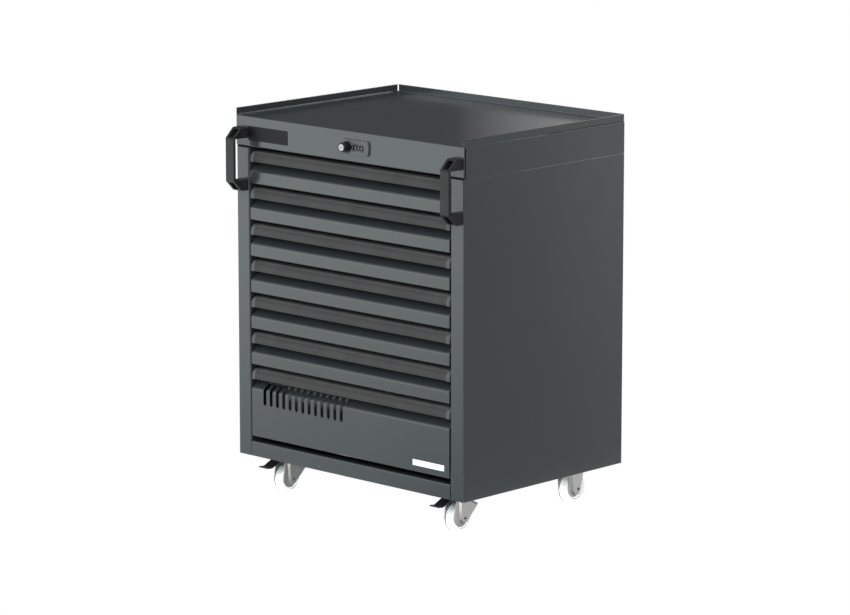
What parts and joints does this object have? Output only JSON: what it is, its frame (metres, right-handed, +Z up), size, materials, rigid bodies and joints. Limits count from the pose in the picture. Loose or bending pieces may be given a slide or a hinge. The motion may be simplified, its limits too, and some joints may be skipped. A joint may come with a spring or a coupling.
{
  "type": "rolling tool chest",
  "caption": "Low steel tool chest on swivel and fixed casters, with full-width drawers on telescopic slides, a rimmed worktop, bridge handles and a central combination lock.",
  "frame": {"origin": "on the floor, under the middle of the overall box", "axes": "+Z up, the drawers open towards -Y, +X to the right of someone facing the drawers"},
  "size_m": [0.674, 0.545, 0.853],
  "materials": {
    "carcass_paint": "satin anthracite powder coat with a fine orange-peel",
    "drawer_paint": "satin anthracite powder coat with a fine orange-peel",
    "slide_zinc": "bright zinc-plated sheet",
    "grip_plastic": "fine-grained dark grey extrusion with moulded end caps",
    "handle_plastic": "spark-eroded dark grey moulding",
    "lock_plastic": "satin grey moulding",
    "knob_plastic": "satin black moulding",
    "key_chrome": "turned bright key face",
    "dial_plastic": "black dials with white digits",
    "caster_zinc": "zinc-plated pressed steel",
    "pedal_paint": "black coated pressed steel",
    "wheel_nylon": "white moulded nylon"
  },
  "bodies": {
    "cabinet": {"left_side_panel": "carcass_paint", "right_side_panel": "carcass_paint", "back_panel": "carcass_paint", "base_pan": "carcass_paint", "plinth_rail": "carcass_paint", "top_frame": "carcass_paint", "worktop_tray": "carcass_paint", "slide_uprights": "carcass_paint", "cabinet_rails": "slide_zinc", "left_handle": "handle_plastic", "right_handle": "handle_plastic", "lock_housing": "lock_plastic", "lock_bar_guides": "slide_zinc", "front_caster_plates": "caster_zinc", "rear_caster_brackets": "caster_zinc"},
    "lock_knob": {"lock_knob": "knob_plastic", "key_cylinder": "key_chrome", "lock_rod": "slide_zinc"},
    "lock_bar": {"lock_bar": "slide_zinc"},
    "lock_dial_1": {"lock_dial_1": "dial_plastic"},
    "lock_dial_2": {"lock_dial_2": "dial_plastic"},
    "lock_dial_3": {"lock_dial_3": "dial_plastic"},
    "lock_dial_4": {"lock_dial_4": "dial_plastic"},
    "drawer_1": {"drawer_1_front": "drawer_paint", "drawer_1_grip": "grip_plastic", "drawer_1_box": "drawer_paint"},
    "drawer_1_slides": {"drawer_1_slides": "slide_zinc"},
    "drawer_2": {"drawer_2_front": "drawer_paint", "drawer_2_grip": "grip_plastic", "drawer_2_box": "drawer_paint"},
    "drawer_2_slides": {"drawer_2_slides": "slide_zinc"},
    "drawer_3": {"drawer_3_front": "drawer_paint", "drawer_3_grip": "grip_plastic", "drawer_3_box": "drawer_paint"},
    "drawer_3_slides": {"drawer_3_slides": "slide_zinc"},
    "drawer_4": {"drawer_4_front": "drawer_paint", "drawer_4_grip": "grip_plastic", "drawer_4_box": "drawer_paint"},
    "drawer_4_slides": {"drawer_4_slides": "slide_zinc"},
    "drawer_5": {"drawer_5_front": "drawer_paint", "drawer_5_grip": "grip_plastic", "drawer_5_box": "drawer_paint"},
    "drawer_5_slides": {"drawer_5_slides": "slide_zinc"},
    "drawer_6": {"drawer_6_front": "drawer_paint", "drawer_6_grip": "grip_plastic", "drawer_6_box": "drawer_paint"},
    "drawer_6_slides": {"drawer_6_slides": "slide_zinc"},
    "drawer_7": {"drawer_7_front": "drawer_paint", "drawer_7_grip": "grip_plastic", "drawer_7_box": "drawer_paint"},
    "drawer_7_slides": {"drawer_7_slides": "slide_zinc"},
    "left_swivel": {"left_swivel_fork": "caster_zinc"},
    "left_front_wheel": {"left_front_wheel": "wheel_nylon"},
    "left_rear_wheel": {"left_rear_wheel": "wheel_nylon"},
    "left_brake_pedal": {"left_brake_pedal": "pedal_paint"},
    "right_swivel": {"right_swivel_fork": "caster_zinc"},
    "right_front_wheel": {"right_front_wheel": "wheel_nylon"},
    "right_rear_wheel": {"right_rear_wheel": "wheel_nylon"},
    "right_brake_pedal": {"right_brake_pedal": "pedal_paint"}
  },
  "joints": [
    {"name": "lock_knob_turn", "type": "hinge", "parent": "cabinet", "child": "lock_knob", "pos_m": [0.004, -0.25, 0.8045], "axis": [0, -1, 0], "range_deg": [0, 90]},
    {"name": "lock_bar_lift", "type": "slide", "parent": "cabinet", "child": "lock_bar", "axis": [0, 0, 1], "range_m": [0, 0.01131]},
    {"name": "lock_dial_1_turn", "type": "hinge", "parent": "cabinet", "child": "lock_dial_1", "pos_m": [0.0218, -0.2277, 0.8045], "axis": [1, 0, 0], "continuous": true},
    {"name": "lock_dial_2_turn", "type": "hinge", "parent": "cabinet", "child": "lock_dial_2", "pos_m": [0.0305, -0.2277, 0.8045], "axis": [1, 0, 0], "continuous": true},
    {"name": "lock_dial_3_turn", "type": "hinge", "parent": "cabinet", "child": "lock_dial_3", "pos_m": [0.0392, -0.2277, 0.8045], "axis": [1, 0, 0], "continuous": true},
    {"name": "lock_dial_4_turn", "type": "hinge", "parent": "cabinet", "child": "lock_dial_4", "pos_m": [0.0479, -0.2277, 0.8045], "axis": [1, 0, 0], "continuous": true},
    {"name": "drawer_1_pull", "type": "slide", "parent": "cabinet", "child": "drawer_1", "axis": [0, -1, 0], "range_m": [0, 0.4]},
    {"name": "drawer_1_slides_run", "type": "slide", "parent": "cabinet", "child": "drawer_1_slides", "axis": [0, -1, 0], "range_m": [0, 0.2]},
    {"name": "drawer_2_pull", "type": "slide", "parent": "cabinet", "child": "drawer_2", "axis": [0, -1, 0], "range_m": [0, 0.4]},
    {"name": "drawer_2_slides_run", "type": "slide", "parent": "cabinet", "child": "drawer_2_slides", "axis": [0, -1, 0], "range_m": [0, 0.2]},
    {"name": "drawer_3_pull", "type": "slide", "parent": "cabinet", "child": "drawer_3", "axis": [0, -1, 0], "range_m": [0, 0.4]},
    {"name": "drawer_3_slides_run", "type": "slide", "parent": "cabinet", "child": "drawer_3_slides", "axis": [0, -1, 0], "range_m": [0, 0.2]},
    {"name": "drawer_4_pull", "type": "slide", "parent": "cabinet", "child": "drawer_4", "axis": [0, -1, 0], "range_m": [0, 0.4]},
    {"name": "drawer_4_slides_run", "type": "slide", "parent": "cabinet", "child": "drawer_4_slides", "axis": [0, -1, 0], "range_m": [0, 0.2]},
    {"name": "drawer_5_pull", "type": "slide", "parent": "cabinet", "child": "drawer_5", "axis": [0, -1, 0], "range_m": [0, 0.4]},
    {"name": "drawer_5_slides_run", "type": "slide", "parent": "cabinet", "child": "drawer_5_slides", "axis": [0, -1, 0], "range_m": [0, 0.2]},
    {"name": "drawer_6_pull", "type": "slide", "parent": "cabinet", "child": "drawer_6", "axis": [0, -1, 0], "range_m": [0, 0.4]},
    {"name": "drawer_6_slides_run", "type": "slide", "parent": "cabinet", "child": "drawer_6_slides", "axis": [0, -1, 0], "range_m": [0, 0.2]},
    {"name": "drawer_7_pull", "type": "slide", "parent": "cabinet", "child": "drawer_7", "axis": [0, -1, 0], "range_m": [0, 0.4]},
    {"name": "drawer_7_slides_run", "type": "slide", "parent": "cabinet", "child": "drawer_7_slides", "axis": [0, -1, 0], "range_m": [0, 0.2]},
    {"name": "left_swivel_turn", "type": "hinge", "parent": "cabinet", "child": "left_swivel", "pos_m": [-0.257, -0.1275, 0.075], "axis": [0, 0, 1], "continuous": true},
    {"name": "left_front_wheel_roll", "type": "hinge", "parent": "left_swivel", "child": "left_front_wheel", "pos_m": [-0.257, -0.1635, 0.0315], "axis": [1, 0, 0], "continuous": true},
    {"name": "left_rear_wheel_roll", "type": "hinge", "parent": "cabinet", "child": "left_rear_wheel", "pos_m": [-0.257, 0.1975, 0.0315], "axis": [1, 0, 0], "continuous": true},
    {"name": "left_brake_press", "type": "hinge", "parent": "left_swivel", "child": "left_brake_pedal", "pos_m": [-0.257, -0.1685, 0.0695], "axis": [1, 0, 0], "range_deg": [0, 10]},
    {"name": "right_swivel_turn", "type": "hinge", "parent": "cabinet", "child": "right_swivel", "pos_m": [0.257, -0.1275, 0.075], "axis": [0, 0, 1], "continuous": true},
    {"name": "right_front_wheel_roll", "type": "hinge", "parent": "right_swivel", "child": "right_front_wheel", "pos_m": [0.257, -0.1635, 0.0315], "axis": [1, 0, 0], "continuous": true},
    {"name": "right_rear_wheel_roll", "type": "hinge", "parent": "cabinet", "child": "right_rear_wheel", "pos_m": [0.257, 0.1975, 0.0315], "axis": [1, 0, 0], "continuous": true},
    {"name": "right_brake_press", "type": "hinge", "parent": "right_swivel", "child": "right_brake_pedal", "pos_m": [0.257, -0.1685, 0.0695], "axis": [1, 0, 0], "range_deg": [0, 10]}
  ],
  "couplings": [
    {"joint": "lock_knob_turn", "follows": "lock_bar_lift", "rad_per_m": 138.84},
    {"joint": "drawer_1_slides_run", "follows": "drawer_1_pull", "ratio": 0.5},
    {"joint": "drawer_2_slides_run", "follows": "drawer_2_pull", "ratio": 0.5},
    {"joint": "drawer_3_slides_run", "follows": "drawer_3_pull", "ratio": 0.5},
    {"joint": "drawer_4_slides_run", "follows": "drawer_4_pull", "ratio": 0.5},
    {"joint": "drawer_5_slides_run", "follows": "drawer_5_pull", "ratio": 0.5},
    {"joint": "drawer_6_slides_run", "follows": "drawer_6_pull", "ratio": 0.5},
    {"joint": "drawer_7_slides_run", "follows": "drawer_7_pull", "ratio": 0.5}
  ]
}
